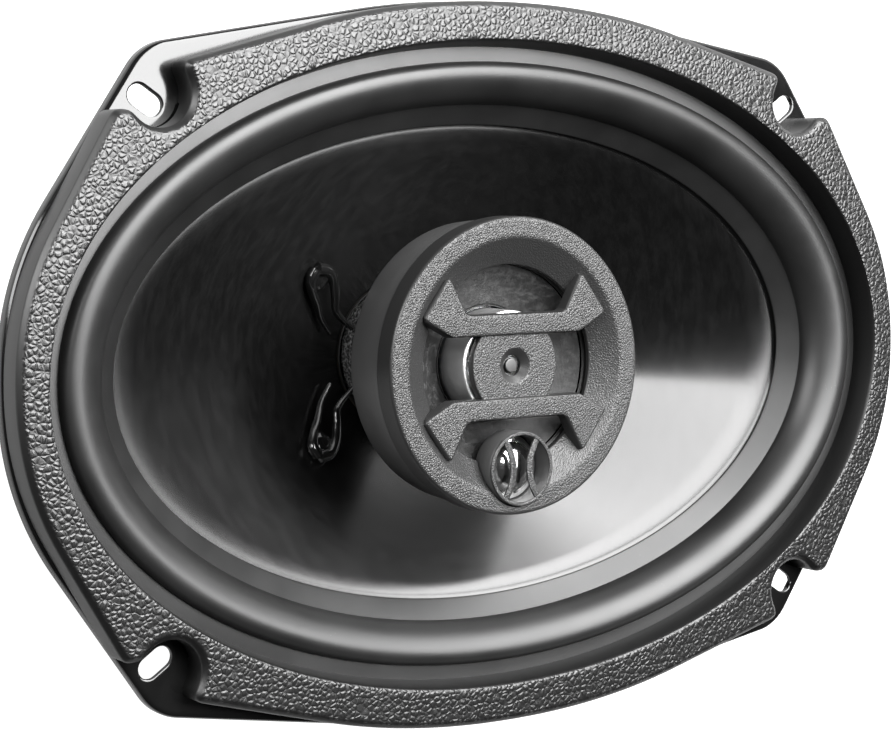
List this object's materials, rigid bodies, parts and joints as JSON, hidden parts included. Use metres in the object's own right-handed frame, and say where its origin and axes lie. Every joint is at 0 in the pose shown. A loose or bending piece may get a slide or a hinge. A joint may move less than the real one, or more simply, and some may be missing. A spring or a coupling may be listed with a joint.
{
  "type": "coaxial car speaker",
  "caption": "Oval coaxial car speaker: pressed basket with ears, rubber surround, glossy cone, and a midrange and supertweeter on a centre post.",
  "frame": {"origin": "centre of the magnet's flat back face, on which the speaker stands", "axes": "+Z is the way the speaker faces, +X its long axis with the terminals at -X, +Y its short axis with the supertweeter at -Y"},
  "size_m": [0.236, 0.1622, 0.0912],
  "materials": {
    "basket_paint": "gloss",
    "trim_grain": "leather-grained satin",
    "surround_rubber": "satin",
    "cone_black": "gloss with fine rings",
    "spider_cloth": "resin-treated weave",
    "former_film": "satin",
    "copper_wire": "polished",
    "zinc_steel": "zinc plated",
    "ferrite_black": "matt",
    "bezel_plastic": "fine-grained satin",
    "chrome_cup": "polished",
    "cone_paper": "fibrous",
    "foam_grey": "open-cell",
    "glue_black": "wet gloss",
    "fibre_board": "hard fibre",
    "terminal_brass": "tinned brass",
    "capacitor_sleeve": "shrink sleeve"
  },
  "bodies": {
    "root": {"basket": "basket_paint", "trim_ring": "trim_grain", "surround": "surround_rubber", "spider": "spider_cloth", "top_plate": "zinc_steel", "ferrite_magnet": "ferrite_black", "pole_yoke": "zinc_steel", "terminal_board": "fibre_board", "terminal_positive": "terminal_brass", "terminal_negative": "terminal_brass", "terminal_rivet_left": "terminal_brass", "terminal_rivet_right": "terminal_brass", "tinsel_lead_positive": "copper_wire", "tinsel_lead_negative": "copper_wire", "mid_feed_positive": "glue_black", "mid_feed_negative": "glue_black", "foam_seal": "foam_grey", "post_stem": "bezel_plastic", "centre_stud": "zinc_steel", "stud_nut": "zinc_steel", "stud_washer": "zinc_steel", "post_housing": "bezel_plastic", "bezel": "bezel_plastic", "mid_sleeve": "chrome_cup", "mid_frame": "basket_paint", "mid_surround": "surround_rubber", "mid_pole_plate": "zinc_steel", "mid_magnet": "chrome_cup", "mid_yoke": "zinc_steel", "supertweeter_shell": "bezel_plastic", "supertweeter_grille": "bezel_plastic", "supertweeter_piezo": "terminal_brass", "crossover_capacitor": "capacitor_sleeve", "capacitor_wire_positive": "zinc_steel", "capacitor_wire_negative": "zinc_steel", "plate_rivet_1": "zinc_steel", "plate_rivet_2": "zinc_steel", "plate_rivet_3": "zinc_steel", "plate_rivet_4": "zinc_steel"},
    "cone_assembly": {"cone": "cone_black", "voice_coil_former": "former_film", "voice_coil_winding": "copper_wire", "coil_lead_positive": "glue_black", "coil_lead_negative": "glue_black", "cone_eyelet_positive": "terminal_brass", "cone_eyelet_negative": "terminal_brass", "glue_bead_positive": "glue_black", "glue_bead_negative": "glue_black"},
    "mid_assembly": {"mid_cone": "cone_paper", "mid_former": "former_film", "mid_winding": "copper_wire"},
    "supertweeter_diaphragm": {"supertweeter_dome": "chrome_cup"}
  },
  "joints": [
    {"name": "cone_excursion", "type": "slide", "parent": "root", "child": "cone_assembly", "axis": [0, 0, 1], "range_m": [-0.004, 0.004], "stiffness_N_per_m": 4000, "deforming": ["surround", "spider", "tinsel_lead_positive", "tinsel_lead_negative", "mid_feed_positive", "mid_feed_negative"]},
    {"name": "mid_excursion", "type": "slide", "parent": "root", "child": "mid_assembly", "axis": [0, 0, 1], "range_m": [-0.0004, 0.0004], "stiffness_N_per_m": 1000, "deforming": ["mid_surround"]},
    {"name": "supertweeter_excursion", "type": "slide", "parent": "root", "child": "supertweeter_diaphragm", "axis": [0, 0, 1], "range_m": [-0.00015, 0.00015], "stiffness_N_per_m": 1000}
  ]
}
